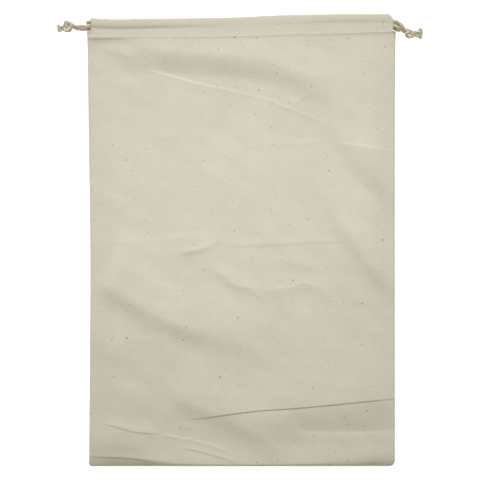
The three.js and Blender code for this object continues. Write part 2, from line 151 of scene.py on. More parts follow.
# Fine creases, with the same columns: a negative height is a trough
CREASES = (
    ("hem hollow", -1.4, 9, 26, 0, 0.6, ((-206, 256), (-185, 258), (-160, 259), (-125, 260))),
    ("neck furrow", -0.45, 11, 1.7, 0.1, 0.6,
     ((-126, 226), (-108, 222.2), (-81, 214.3), (-55, 207.4), (-28, 202), (-2, 195.3), (24, 189.6),
      (50, 179.6))),
    ("neck ridge", 0.3, 1.5, 1.8, 0.05, 0.1,
     ((-124, 223.8), (-108, 220.6), (-81, 212.6), (-55, 205.9), (-28, 200.6), (-2, 193.9), (24, 188.2),
      (77, 167.6), (104, 157), (118, 150.2))),
    ("neck strand", 0.6, 9, 7, 0.3, 0.3, ((-187, 254), (-160, 247), (-134, 238))),
    ("shoulder tie", 0.35, 5, 1.5, 0.2, 0.2, ((69, 178.4), (83, 188), (96, 196))),
    ("shoulder line", 0.3, 1.5, 7, 0.2, 0, ((118, 130), (140, 127), (165, 123), (188, 119), (206, 117))),
    ("arched line", 0.15, 3, 3, 0.3, 0.3,
     ((-30, 116), (-15, 120), (20, 125), (51, 127.5), (90, 128), (118, 130))),
    ("packing line", 0.35, 9, 1.8, 0.2, 0.3, ((-26, -8), (11, -7), (55, -5), (90, -3), (154, -1))),
    ("packing lip", 0.8, 6, 3.6, 0.4, 0.3, ((-90, -18), (-72, -16), (-54, -12), (-34, -4))),
    ("packing stripe", 0.45, 6, 30, 0, 0.5, ((-206, -4), (-150, -3), (-100, 1), (-50, 6), (0, 13))),
    ("middle ridge", 0.65, 7, 4, 0.3, 0.4,
     ((-44, -28), (-33, -41), (-22, -47), (-9, -60), (10, -63), (34, -67))),
    ("middle line", 0.25, 1.4, 3, 0.2, 0.2,
     ((30, -68), (50, -63.5), (64, -63), (80, -57), (92, -58), (104, -62))),
    ("middle streak", 0.6, 12, 8, 0.3, 0.3, ((36, -24), (60, -28), (84, -34), (112, -42))),
    ("stray line", 0.3, 1.4, 2, 0.3, 0.3, ((14, -66), (28, -77), (40, -86))),
    ("low stray line", 0.3, 1.4, 2, 0.3, 0.3, ((104, -183), (112, -190), (121, -198))),
    ("middle tail", 0.5, 10, 7, 0.3, 0.3, ((87, -57), (106, -66), (124, -86))),
    ("middle branch", 0.4, 14, 9, 0.3, 0.3, ((27, -74), (64, -95), (101, -119))),
    ("tuck line", 0.8, 40, 0.5, 0.25, 0,
     ((-92, -240), (-48, -235.2), (-2, -228.6), (31, -225), (64, -223), (97, -220.2), (130, -217),
      (163, -213.6), (206, -209.6))),
    ("right trough", -0.7, 14, 5, 0.4, 0, ((50, -250), (110, -253), (160, -253), (206, -251))),
    ("low left line", 0.5, 6, 0.6, 0.15, 0.2,
     ((-186, -241.5), (-165, -247.5), (-141, -254), (-125, -255.8), (-106, -257))),
    ("low left ridge", 0.35, 1.1, 3, 0.2, 0.3,
     ((-112, -256.5), (-90, -260.5), (-68, -264.6), (-38, -272.5), (-2, -287.7))),
    ("low middle line", 0.5, 6, 0.6, 0.2, 0.1,
     ((-83, -275.6), (-65, -278), (-45, -283), (-23, -289.4), (-4, -297))),
    ("corner edge", 0.8, 5, 0.5, 0, 0.3,
     ((-210, -286.8), (-181, -287.4), (-154, -288.6), (-121, -292.4), (-102, -296))),
)

# How round a crest is, 2 for a soft fold and less for a sharper crease, the spacing of the points along it,
# and the length of a fade where the table gives none
CREST_POWER = {"fold": 2.0, "crease": 1.5}
TRACE_SPACING = 6.0
NO_FADE = 1e-6

# Loose unevenness of the cloth: wavelength and height of each set of soft waves, the waves in a set, the
# spread of their lengths, how far below the stitches they start, and the height of the back's unevenness
UNEVENNESS = ((95.0, 0.24), (46.0, 0.13), (21.0, 0.065))
WAVES_PER_SET = 6
WAVE_SPREAD = (0.7, 1.4)
WAVES_START = 20.0
BACK_UNEVENNESS = 0.08

# Casing's step down to the cloth below the stitches as x, sharp step and soft fall, the reach of the fall,
# and the ridge of its turned-in edge as a share of the step
HEM_STEP = (
    (-204, 0.45, 0.5), (-147, 0.12, 0.45), (-76, 0.18, 0.55), (0, 0.3, 0.55),
    (70, 0.3, 0.6), (137, 0.42, 0.9), (204, 0.45, 0.7),
)
HEM_REACH = 9.0
SEAM_RIDGE = {"share": 0.6, "width": 2.6}

# Puckers along the stitches, the square turn of the top edge, and the bulge over the cords as x, height
# and reach
PUCKERS = {"pitch": 11.0, "height": 0.14, "reach": 9.0, "stray": 2.0, "stray_length": 31.0}
FOLD_SQUARENESS = 0.3
BULGE_TOP = 3.0
BULGE = (
    (-204, 1.9, 9.9), (-120, 1.8, 10.0), (-60, 1.0, 9.3), (0, 0.3, 9.5),
    (60, 0.45, 9.8), (130, 0.9, 8.2), (204, 0.4, 8.2),
)

# Drawcords: where the casings let go of them, the turn of each at the far end as shares of the way down, of
# its reach and of its loose drop, their height in a tunnel, and the lap of a free end over the run
CORD_ENTRY = {"left": -197.0, "right": 199.0}
FAR_TURN = ((0.04, 0.55, 0.3), (0.24, 0.9, 0.8), (0.5, 1.0, 1.0), (0.76, 0.9, 1.0), (0.96, 0.55, 0.5))
TUNNEL_MIDDLE = (LAYER + TUNNEL_RISE) / 2
CORD_RUN_STEPS = 14
CORD_LAP = 4.0

# Overhand knots: mean radius of the ring, its three lobes in two turns, its rise, how the two strands lie
# in it, where the ring is cut open, how far the pulled knot squeezes a strand, and over what length
KNOT = {"ring": 3.6, "lobe": 1.8, "lobes": 1.5, "rise": 1.8, "spread": 1.1, "lift": 0.9, "cut": 0.75}
KNOT_STEPS = 22
KNOT_SQUEEZE = {"share": 0.92, "reach": 6.0}

# Each cord's route: how far below the top edge it lies in the two casings, its turn at the far end, its
# knot, and its free strands as x, y and z, from the casing to the knot and from the knot to the cut end. The
# cut ends are given as how far back a tail gets wider and flatter, how round its end is, and the fibres that
# stand out of it: their number, length, start before the end and spread.
LEFT_ROUTE = {
    "outward": -1,
    "depth": {"front": 10.5, "back": 12.4},
    "far_reach": 10.1,
    "far_drop": 4.6,
    "knot": {"x": -230.0, "y": 283.6, "z": 6.4, "along": 0.72, "across": 1.3},
    "front": ((-205, 282.9, 10.2), (-213, 283, 9.2), (-220, 283.2, 8.3)),
    "back": ((-204, 279.8, 3), (-212, 279.2, 2.9), (-219.5, 280.6, 4)),
    "front_tail": ((-237, 282.6, 4.6), (-244.4, 282.2, 4)),
    "back_tail": ((-237, 279, 3.2), (-244.2, 279, 3.2)),
    "end": {
        "reach": 7.5, "widen": 1.45, "flatten": 1.15, "round": 3.4,
        "fibres": 160, "length": 2.2, "start": 3.2, "spread": 1.2,
    },
}
RIGHT_ROUTE = {
    "outward": 1,
    "depth": {"front": 4.6, "back": 7.2},
    "far_reach": 7.0,
    "far_drop": 0.0,
    "knot": {"x": 223.0, "y": 272.6, "z": 5.8, "along": 0.76, "across": 0.72},
    "front": ((206, 288.7, 10), (211.5, 284.6, 9.4), (216.2, 279.2, 8.2)),
    "back": ((205, 287, 2.8), (209.4, 284.6, 2.5), (211.8, 281.2, 2.5), (213, 278.2, 2.6), (215.4, 276, 3.4)),
    "front_tail": ((231.5, 275, 4.2), (238, 276.6, 3.2)),
    "back_tail": ((231.5, 271.2, 3), (237.6, 270, 2.8)),
    "end": {
        "reach": 8.0, "widen": 1.35, "flatten": 0.75, "round": 3.5,
        "fibres": 170, "length": 6.6, "start": 5.2, "spread": 0.27,
    },
}

# Fibres: the share of the cord's radius that they fill, how far they stray sideways and rise, the spread of
# their lengths, and their clearance to the floor
FIBRE_FILL = 0.85
FIBRE_STRAY = 0.25
FIBRE_RISE = 0.5
FIBRE_LENGTHS = (0.7, 1.15)
FLOOR_CLEAR = 0.3

# Cloth meshes: distances from a sewn edge, spacing of rows as the y that it reaches to, and of columns, the
# gap above the last row of the body, the casing's rows, with the shares of its depth where the first one and
# those beside the slits are, and the rows of the fold
EDGE_STATIONS = (0.0, 0.6, 1.4, 2.6, 4.4, 7.0)
ROW_BANDS = {
    "front": ((-205.0, 0.5), (-95.0, 2.4), (5.0, 1.1), (110.0, 2.4), (235.0, 1.1), (268.0, 1.5)),
    "back": ((268.0, 5.0),),
}
COLUMN_PITCH = {"front": 3.4, "back": 5.0}
LAST_ROW_GAP = 0.5
CASING_ROWS = {"front": 17, "back": 9}
FIRST_CASING_ROW = 0.02
SLIT_ROWS = (0.425, 0.455, 0.09, 0.11)
BEND_ROWS = 9

# Cord meshes: plies, sides, spacing of the rings, the aim that the first ring's normal is square to, the
# square of the least share of the radius at a rounded end, the length below which an upright strand has no
# level direction, and the steps of a smooth line for each of its points
PLIES = 3
CORD_SIDES = 24
CORD_SPACING = {"free": 0.6, "hidden": 1.8}
RING_AIM = (0.31, 0.17, 0.93)
TIP_SHARE = 0.1
NEARLY_UPRIGHT = 1e-6
LINE_STEPS = 24
UP = (0.0, 0.0, 1.0)

# Stitch rows: distance from the side seams, from the stitch line into the casing and the share of the
# casing's depth there, points along a row, and the share of the thread's thickness that shows
STITCH_INSET = 4.0
STITCH_RISE = 1.0
STITCH_SHARE = 0.05
STITCH_POINTS = 200
THREAD_SHOWN = {"front": 1.0, "back": 0.5}

# Muslin's broad patches, and the thick and thin stretches of its yarns as width and height: the weft runs
# across the bag, the warp up it
PATCH_SIZE = 60.0
YARNS = ((9.09, 1.613), (1.786, 9.09))

# Deepest and palest tone that the patches, the weft, the warp and the weave give the muslin, the painted
# shade of doubled cloth, and how far the weave stands out against the weft
TONES = ((0.974, 1.026), (0.969, 1.031), (0.98, 1.02), (0.995, 1.004))
DOUBLED_CLOTH_SHADE = 0.95
WEAVE_LIFT = 0.5

# Bits in the yarn, as width and height of the cell that may hold one, the share of cells that stay empty,
# how dark the faintest and the darkest are, and their reach as a share of the cell. Dark flecks of seed come
# first and then more faint ones, all under 3 mm, and last slubs, faint thin lines along the weft.
FLECKS = (
    (24, 16, 0.6, 0.2, 1.0, 0.037),
    (14, 9, 0.75, 0.06, 0.36, 0.066),
    (60, 7, 0.8, 0.04, 0.12, 0.11),
)

# Shrink of the smallest and the largest bits, the share of a bit that is its dark core, the step between an
# empty cell and a filled one, and the size and reach of the torn edges
FLECK_SIZES = (1.5, 0.6)
FLECK_CORE = 0.45
PICK_STEP = 0.01
TORN = {"size": 1.5, "reach": 1.6}

# The middle half of a noise, which spans the tones of a material
NOISE_SPAN = (0.25, 0.75)

# Cord's fibres: how far one shows along a ply and the share of the girth that it takes, about 0.4 mm, and
# where the painted shade in the groove between the plies starts. The thread's grain is its twist, and the
# paper's is broad.
CORD_FIBRE = {"length": 4.0, "girth": 0.025}
GROOVE_SHADE_EDGE = 0.45
THREAD_TWIST = 0.5
PAPER_GRAIN = 25.0

# Stage, in metres: the width that the photograph takes in, the place at its middle, the camera's height and
# the bag's, the floor's reach, and the lights as name, place and size
VIEW_WIDTH = 0.6348
VIEW_CENTRE = (-0.002, -0.0001)
CAMERA_HEIGHT = 4.0
BAG_HEIGHT = 0.01
FLOOR_REACH = 4.0
LIGHTS = (
    ("key", (-0.15, 3.4, 2.0), (5.0, 1.8)),
    ("fill", (0.0, 0.09, 0.6), (0.4, 0.4)),
)


def linear(hex_colour):
    """Linear red, green and blue of an sRGB hex colour."""
    channels = (int(hex_colour[i:i + 2], 16) / 255 for i in (1, 3, 5))
    return tuple(c / 12.92 if c <= 0.04045 else ((c + 0.055) / 1.055) ** 2.4 for c in channels)


def measure(name, description, size):
    """Property for a length, given in millimetres."""
    return FloatProperty(name=name, description=description, default=size * MM, unit="LENGTH")


def paint(name, description, hex_colour):
    """Property for a colour, given as a hex value."""
    colour = linear(hex_colour)
    return FloatVectorProperty(name=name, description=description, default=colour, subtype="COLOR")


class ClothSettings(PropertyGroup):
    """Sizes and colours of the muslin."""

    thickness: measure("Thickness", "Thickness of one layer of muslin", 0.7)
    weave_pitch: measure("Weave Pitch", "Distance between neighbouring threads", 1.3)
    colour: paint("Muslin", "Unbleached cotton", "#DAD5C7")
    fleck_colour: paint("Seed Fleck", "Bits of cotton seed in the yarn", "#4F4230")
    seed: IntProperty(name="Seed", description="Start of the random waves", default=7)


class CordSettings(PropertyGroup):
    """Sizes and colours of the drawcords."""

    diameter: measure("Diameter", "Thickness of the cord", 4.8)
    twist_pitch: measure("Twist Pitch", "Length of one whole turn of the plies", 34)
    groove: FloatProperty(
        name="Groove", description="Depth between plies, as a share of the radius", default=0.09)
    fibre: measure("Fibre", "Thickness of a loose fibre at a cut end", 0.34)
    colour: paint("Cotton Cord", "Soft twisted cotton", "#D9D2C1")
    # Painted shade: this darker colour laid into the grooves between the plies stands in for the shade that
    # falls there.
    groove_shade_colour: paint("Groove Colour", "Shade between the plies", "#B0A48C")
    seed: IntProperty(name="Seed", description="Start of the random fibres", default=11)


class StitchSettings(PropertyGroup):
    """Sizes and colour of the casing's sewing."""

    pitch: measure("Pitch", "Distance from one stitch to the next", 2.9)
    length: measure("Length", "Length of the thread that shows", 2.4)
    thread: measure("Thread", "Thickness of the thread", 0.5)
    colour: paint("Thread Colour", "Cotton sewing thread", "#DDD6C4")


class StageSettings(PropertyGroup):
    """Light and floor of the plain stage."""

    key_power: FloatProperty(
        name="Key Light", description="Power of the low light above the mouth", default=161.0, unit="POWER")
    fill_power: FloatProperty(
        name="Fill Light", description="Power of the small light overhead", default=1.12, unit="POWER")
    ambient: FloatProperty(name="Ambient", description="Strength of the light all round", default=0.25)
    room_colour: FloatVectorProperty(
        name="Room", description="Colour of the light all round", default=(1.0, 0.95, 0.74), subtype="COLOR")
    glow: FloatProperty(name="Floor Glow", description="Light of the lit floor itself", default=0.7)
    floor_colour: paint("Floor", "Pale floor", "#FAFAF9")


class HamBagSettings(PropertyGroup):
    """Everything that a user would change."""

    cloth: PointerProperty(type=ClothSettings)
    cord: PointerProperty(type=CordSettings)
    stitch: PointerProperty(type=StitchSettings)
    stage: PointerProperty(type=StageSettings)


# Curves

def smooth(start, end, value):
    """Soft step from 0 at start to 1 at end."""
    share = np.clip((value - start) / (end - start), 0.0, 1.0)
    return share * share * (3.0 - 2.0 * share)


def lerp(start, end, share):
    """Mix of two values."""
    return start + (end - start) * share


def follow(table, at):
    """Smooth curves through a table whose first column is the position: the other columns at new places."""
    table = np.array(table, dtype=float)
    places = table[:, 0]
    left = np.clip(np.searchsorted(places, at) - 1, 0, len(places) - 2)
    span = places[left + 1] - places[left]
    t = (at - places[left]) / span
    curves = []
    for values in table[:, 1:].T:
        slopes = np.gradient(values, places)
        start = (1 + 2 * t) * (1 - t) ** 2 * values[left] + t * (1 - t) ** 2 * span * slopes[left]
        end = t * t * (3 - 2 * t) * values[left + 1] + t * t * (t - 1) * span * slopes[left + 1]
        curves.append(start + end)
    return curves[0] if len(curves) == 1 else curves


def travelled(points):
    """Distance of each point from the first one, along the line."""
    return np.concatenate(((0.0,), np.cumsum(np.linalg.norm(np.diff(points, axis=0), axis=1))))


def smooth_line(points, spacing):
    """Evenly spaced points on a smooth line through a few points."""
    points = np.array(points, dtype=float)
    steps = np.sqrt(np.linalg.norm(np.diff(points, axis=0), axis=1))
    knots = np.concatenate(((0.0,), np.cumsum(steps)))
    at = np.linspace(0.0, knots[-1], LINE_STEPS * len(points))
    fine = follow(np.column_stack((knots, points)), at)
    lengths = travelled(np.stack(fine, axis=1))
    even = np.linspace(0.0, lengths[-1], max(2, round(lengths[-1] / spacing)) + 1)
    return np.stack([np.interp(even, lengths, column) for column in fine], axis=1)


def traced(points, x, y):
    """Signed distance of places from a line, positive to its right, and the share of the way along it."""
    line = smooth_line(points, TRACE_SPACING)
    nearest = np.full(x.shape, np.inf)
    side = np.zeros(x.shape)
    along = np.zeros(x.shape)
    for i, (start, end) in enumerate(zip(line[:-1], line[1:])):
        dx, dy = end - start
        t = np.clip(((x - start[0]) * dx + (y - start[1]) * dy) / (dx * dx + dy * dy), 0.0, 1.0)
        off_x = x - start[0] - t * dx
        off_y = y - start[1] - t * dy
        distance = np.hypot(off_x, off_y)
        closer = distance < nearest
        nearest = np.where(closer, distance, nearest)
        side = np.where(closer, np.where(dy * off_x >= dx * off_y, distance, -distance), side)
        along = np.where(closer, (i + t) / (len(line) - 1), along)
    return side, along


# Outline and heights of the cloth

def top_edge(x):
    """Folded top edge of both panels, with the drop at its corner."""
    return follow(TOP_EDGE, x) - CORNER_DROP["depth"] * smooth(CORNER_DROP["start"], CORNER_DROP["end"], x)


def side_edge(side, y):
    """Place of a side seam, rounded at the bottom."""
    radius = CORNER_RADIUS[side]
    short = radius - np.clip(y - BOTTOM, 0.0, radius)
    corner = radius - np.sqrt(radius ** 2 - short ** 2)
    return follow(SIDE_SEAM[side], y) + (corner if side == "left" else -corner)


def relief(rows, power, x, y):
    """Sum of the folds or creases in a table."""
    total = np.zeros(x.shape)
    for _name, height, gentle, steep, fade_in, fade_out, crest in rows:
        side, along = traced(crest, x, y)
        fade = smooth(-NO_FADE, fade_in, along) * smooth(1.0 + NO_FADE, 1.0 - fade_out, along)
        total += height * fade * np.exp(-(np.abs(side) / np.where(side > 0, steep, gentle)) ** power)
    return total


def unevenness(x, y, seed):
    """Soft random waves of a cloth that has been folded and handled."""
    random = np.random.default_rng(seed)
    total = np.zeros(x.shape)
    for wavelength, height in UNEVENNESS:
        for _wave in range(WAVES_PER_SET):
            turn, phase = random.uniform(0.0, 2 * math.pi, 2)
            length = wavelength * random.uniform(*WAVE_SPREAD)
            across = x * math.cos(turn) + y * math.sin(turn)
            total += height / math.sqrt(WAVES_PER_SET) * np.sin(2 * math.pi * across / length + phase)
    return total


def puckers(x, from_stitch):
    """Small gathers along the casing's stitches."""
    stray = PUCKERS["stray"] * np.sin(x / PUCKERS["stray_length"])
    waves = np.sin(2 * math.pi * x / PUCKERS["pitch"] + stray)
    return PUCKERS["height"] * waves * np.exp(-(from_stitch / PUCKERS["reach"]) ** 2)


def edge_rise(distance, edge, reach):
    """Rise of the cloth away from a sewn edge, from 0 to 1: a quick roll and then a long slope."""
    fall = lerp(np.exp(-distance / reach), np.exp(-distance / EDGE_TURN["reach"]), EDGE_TURN["share"])
    roll = EDGE_ROLL[edge] * (1 - fall)
    return roll + (1 - EDGE_ROLL[edge]) * smooth(0.0, EDGE_REACH[edge], distance)


def front_inner(x):
    """Level of the front casing's inner layer, over the slack open mouth."""
    gap = MOUTH_GAP * (1 - np.minimum(np.abs(x) / MOUTH_HALF_WIDTH, 1.0) ** 3)
    return BACK_INNER + TUNNEL_RISE + LAYER + gap


def front_outer(x):
    """Level of the front casing's outer layer at its stitches."""
    return front_inner(x) + LAYER + TUNNEL_RISE * (1 - OUTER_BULGE)


def front_body(x, y, seed):
    """Height of the front panel below the casing."""
    to_stitch = follow(STITCH_LINE, x) - y
    neck_share = smooth(NECK_DEPTH, 0.0, to_stitch)
    from_side = np.minimum(x - side_edge("left", y), side_edge("right", y) - x)
    rises = [edge_rise(from_side, part, ROLL_REACH[part]) for part in ("body", "neck")]
    bottom_reach = np.maximum(follow(BOTTOM_ROLL_REACH, x), LEAST_REACH)
    rise = lerp(*rises, neck_share) * edge_rise(y - BOTTOM, "bottom", bottom_reach)
    edge = lerp(SEAM_LEVEL["casing"], SEAM_LEVEL["body"], smooth(0.0, SEAM_STEP, to_stitch))
    side, along = traced(NECK_LINE, x, y)
    half = follow(NECK_HALF_WIDTH, along)
    above = lerp(smooth(NECK_SLOPE, -half, side), smooth(half, -half, side), NECK_SHARE)
    level = lerp(follow(BODY_LEVEL, y), front_outer(x), above)
    _step, fall = follow(HEM_STEP, x)
    folds = relief(FOLDS, CREST_POWER["fold"], x, y) + relief(CREASES, CREST_POWER["crease"], x, y)
    loose = unevenness(x, y, seed) * smooth(0.0, WAVES_START, to_stitch)
    folds += loose + fall * np.exp(-to_stitch / HEM_REACH) + puckers(x, to_stitch)
    return edge + (level - edge + folds) * rise


def back_body(x, y, seed):
    """Height of the back panel, which lies on the surface."""
    return BACK_OUTER + BACK_UNEVENNESS * (unevenness(x, y, seed) * 0.5 + 0.5).clip(0.0, 1.0)


def casing_rise(x, y, share):
    """How far the side seams pinch the casing's ends: 0 at a seam, and 1 in a slit and inside."""
    ends = []
    for side, distance in (("left", x - side_edge("left", y)), ("right", side_edge("right", y) - x)):
        free = smooth(SLIT[side]["lift"], SLIT[side]["open"], share)
        ends.append(lerp(edge_rise(np.maximum(distance, 0.0), "neck", ROLL_REACH["neck"]), 1.0, free))
    return np.minimum(*ends)


def bulge(x, offset):
    """Round bulge of the front casing over the cords, which ends in a crease."""
    height, reach = follow(BULGE, x)
    share = (offset - BULGE_TOP) / reach
    return height * np.clip(1.0 - np.maximum(share, 0.0) ** 3, 0.0, 1.0)


def casing_layers(panel, x, y, share, depth, offset):
    """Heights of a casing's outer and inner layers."""
    rise = casing_rise(x, y, share)
    floor = np.interp(x, *zip(*TUNNEL_FLOOR))
    opening = TUNNEL_RISE * smooth(depth, floor, offset) * rise
    if panel == "back":
        return np.full(x.shape, BACK_OUTER), BACK_INNER + opening
    flat = SEAM_LEVEL["casing"] + (front_outer(x) - SEAM_LEVEL["casing"]) * rise
    step, fall = follow(HEM_STEP, x)
    ridge = SEAM_RIDGE["share"] * step * np.exp(-((depth - offset) / SEAM_RIDGE["width"]) ** 2)
    shown = flat + (step + fall + bulge(x, offset) + ridge) * rise + puckers(x, depth - offset)
    return shown, flat + OUTER_BULGE * opening - LAYER - opening


# Panels

def body_points(panel, heights, across, seed):
    """Middle surface of a panel from its bottom seam up to the casing."""
    height, share = np.meshgrid(heights, across, indexing="ij")
    middle = lerp(BOTTOM, follow(STITCH_LINE, np.zeros(1)), height)
    x = lerp(side_edge("left", middle), side_edge("right", middle), share)
    y = lerp(BOTTOM, follow(STITCH_LINE, x), height)
    z = front_body(x, y, seed) if panel == "front" else back_body(x, y, seed)
    return np.stack((x, y, z), axis=-1)


def casing_points(panel, part, shares, turns, across):
    """Middle surface of a casing's outer layer, of the fold of its top edge or of its inner layer."""
    share, column = np.meshgrid(shares, across, indexing="ij")
    turn, _column = np.meshgrid(turns, across, indexing="ij")
    middle = lerp(follow(STITCH_LINE, np.zeros(1)), top_edge(np.zeros(1)), share)
    ends = [
        np.where(share > SLIT[side]["open"], CASING_END[side], side_edge(side, middle))
        for side in ("left", "right")
    ]
    x = lerp(*ends, column)
    depth = top_edge(x) - follow(STITCH_LINE, x)
    bend = (LAYER + TUNNEL_RISE + SOLID_CLOTH) / 2
    offset = lerp(depth, bend, share)
    y = top_edge(x) - offset
    outer, inner = casing_layers(panel, x, y, share, depth, offset)
    if part == "outer":
        return np.stack((x, y, outer), axis=-1)
    if part == "inner":
        return np.stack((x, y, inner), axis=-1)
    half = (outer - inner) / 2
    out = np.sin(math.pi * turn) ** FOLD_SQUARENESS
    up = np.cos(math.pi * turn)
    up = np.sign(up) * np.abs(up) ** FOLD_SQUARENESS
    return np.stack((x, y + bend * out, (outer + inner) / 2 + half * up), axis=-1)


def column_shares(pitch):
    """Places of the columns across a panel, closer together at the side seams. Their number is odd."""
    inset = EDGE_STATIONS[-1]
    count = 2 * round((WIDTH - 2 * inset) / pitch / 2)
    inside = np.linspace(inset, WIDTH - inset, count + 1)[1:-1]
    edge = np.array(EDGE_STATIONS)
    return np.concatenate((edge, inside, WIDTH - edge[::-1])) / WIDTH


def body_heights(bands):
    """Places of the rows up a panel, closer together at the bottom seam."""
    length = follow(STITCH_LINE, np.zeros(1))[0] - BOTTOM
    rows = list(EDGE_STATIONS)
    for reach, pitch in bands:
        span = reach - BOTTOM - rows[-1]
        count = math.ceil(span / pitch)
        rows.extend(rows[-1] + span * np.arange(1, count + 1) / count)
    return np.array([row / length for row in rows if row < length - LAST_ROW_GAP])


def panel_points(panel, seed):
    """Middle surface of a panel: body, casing's outer layer, folded top edge and inner layer. The number of
    its rows is odd."""
    across = column_shares(COLUMN_PITCH[panel])
    shares = np.unique((*np.linspace(FIRST_CASING_ROW, 1.0, CASING_ROWS[panel]), *SLIT_ROWS))
    turns = np.linspace(0.0, 1.0, BEND_ROWS + 2)[1:-1]
    body = body_points(panel, body_heights(ROW_BANDS[panel]), across, seed)
    points = np.concatenate((
        body,
        casing_points(panel, "outer", shares, shares, across),
        casing_points(panel, "bend", np.ones(len(turns)), turns, across),
        casing_points(panel, "inner", shares[::-1], shares, across),
    ))
    layers = np.repeat((0.0, 1.0), (len(body), len(points) - len(body)))
    odd = len(points) - 1 + len(points) % 2
    return points[:odd], layers[:odd]


# Meshes

def plain_mesh(name, vertices, faces, flat_from, uv_name, uvs, attribute, values):
    """Mesh with smooth faces and then flat ones, a UV at each corner of a face and a value at each point."""
    mesh = bpy.data.meshes.new(name)
    mesh.from_pydata(vertices.tolist(), [], faces)
    mesh.polygons.foreach_set("use_smooth", np.arange(len(faces)) < flat_from)
    mesh.uv_layers.new(name=uv_name).data.foreach_set("uv", uvs.ravel())
    mesh.attributes.new(attribute, "FLOAT", "POINT").data.foreach_set("value", values)
    mesh.update()
    return mesh


def grid_faces(index):
    """Quads between the points of a grid, given as the grid of their numbers."""
    corners = (index[:-1, :-1], index[:-1, 1:], index[1:, 1:], index[1:, :-1])
    return np.stack(corners, axis=-1).reshape(-1, 4).tolist()


def rim_faces(fine, coarse):
    """Faces that close a sheet between the fine edge of its outside and the coarse edge of its inside."""
    return [
        [fine[2 * i + 2], fine[2 * i + 1], fine[2 * i], coarse[i], coarse[i + 1]]
        for i in range(len(coarse) - 1)
    ]


def sheet_mesh(name, points, layers, thickness):
    """Closed sheet of cloth about a grid of points, with a coarser inside, its flat cut in metres as a UV map
    and its doubled rows as an attribute."""
    normals = np.cross(np.gradient(points, axis=1), np.gradient(points, axis=0))
    normals /= np.linalg.norm(normals, axis=-1, keepdims=True)
    outside = points * MM + normals * (thickness / 2)
    inside = (points * MM - normals * (thickness / 2))[::2, ::2]
    fine = np.arange(outside.size // 3).reshape(outside.shape[:2])
    coarse = fine.size + np.arange(inside.size // 3).reshape(inside.shape[:2])
    faces = grid_faces(fine) + [face[::-1] for face in grid_faces(coarse)]
    flat_from = len(faces)
    for edge in (np.s_[0, :], np.s_[:, -1], np.s_[-1, ::-1], np.s_[::-1, 0]):
        faces += rim_faces(fine[edge].tolist(), coarse[edge].tolist())
    cut = np.empty((*fine.shape, 2))
    cut[..., 0] = points[..., 0] * MM
    cut[..., 1] = travelled(points[:, fine.shape[1] // 2])[:, None] * MM
    cut = np.concatenate((cut.reshape(-1, 2), cut[::2, ::2].reshape(-1, 2)))
    doubled = np.concatenate((np.repeat(layers, fine.shape[1]), np.repeat(layers[::2], coarse.shape[1])))
    vertices = np.concatenate((outside.reshape(-1, 3), inside.reshape(-1, 3)))
    corners = [corner for face in faces for corner in face]
    return plain_mesh(name, vertices, faces, flat_from, "cut", cut[corners], "doubled", doubled)


def tube_mesh(name, rings, grooves, along):
    """Closed tube through rings of points, with its length and girth as a UV map and its grooves, where the
    cord's material paints shade, as an attribute."""
    count, sides = rings.shape[:2]
    places = [
        ((i, j), (i, j + 1), (i + 1, j + 1), (i + 1, j)) for i in range(count - 1) for j in range(sides)
    ]
    flat_from = len(places)
    places += [[(0, j) for j in reversed(range(sides))], [(count - 1, j) for j in range(sides)]]
    faces = [[i * sides + j % sides for i, j in face] for face in places]
    uvs = np.array([(along[i] * MM, j / sides) for face in places for i, j in face])
    vertices = rings.reshape(-1, 3) * MM
    return plain_mesh(name, vertices, faces, flat_from, "fibres", uvs, "groove", np.tile(grooves, count))


# Cords

def knot_turns(route, strand):
    """One strand's turns of an overhand knot: a ring with three lobes, cut open where the ends cross."""
    knot = route["knot"]
    angle = np.linspace(KNOT["cut"], 4 * math.pi - KNOT["cut"], KNOT_STEPS + 1)
    lobe = KNOT["lobes"] * angle
    radius = KNOT["ring"] + KNOT["lobe"] * np.cos(lobe) + strand * KNOT["spread"]
    x = knot["x"] + route["outward"] * knot["along"] * radius * np.sin(angle)
    y = knot["y"] + knot["across"] * radius * np.cos(angle)
    z = knot["z"] + KNOT["rise"] * np.sin(lobe) + strand * KNOT["lift"]
    return np.stack((x, y, z), axis=1)


def casing_run(route, layer, start, end):
    """A cord's run through one casing, along the middle of the tunnel."""
    x = np.linspace(start, end, CORD_RUN_STEPS + 1)
    floor = front_inner(x) if layer == "front" else np.full(x.shape, BACK_OUTER)
    return np.stack((x, top_edge(x) - route["depth"][layer], floor + TUNNEL_MIDDLE), axis=1)


def hidden_run(route, near, far):
    """A cord's course through both casings, with its turn at the far end."""
    front = casing_run(route, "front", near, far)
    back = casing_run(route, "back", far, near)
    reach = route["outward"] * route["far_reach"]
    turn = [
        lerp(front[-1], back[0], share) - (reach * out, route["far_drop"] * drop, 0.0)
        for share, out, drop in FAR_TURN
    ]
    return smooth_line(np.concatenate((front, turn, back)), CORD_SPACING["hidden"])


def free_strand(route, layer, near, far):
    """A cord's free end: from inside the casing through the knot to the cut, and where the knot lies."""
    mouth, inside = casing_run(route, layer, near, far)[:2]
    start = lerp(mouth, inside, CORD_LAP / np.linalg.norm(inside - mouth))
    lead = np.concatenate(((start, mouth), route[layer]))
    course = np.concatenate((lead, knot_turns(route, 1 if layer == "front" else -1)))
    line = smooth_line(np.concatenate((course, route[layer + "_tail"])), CORD_SPACING["free"])
    way = travelled(course)
    return line, (way[len(lead)], way[-1])


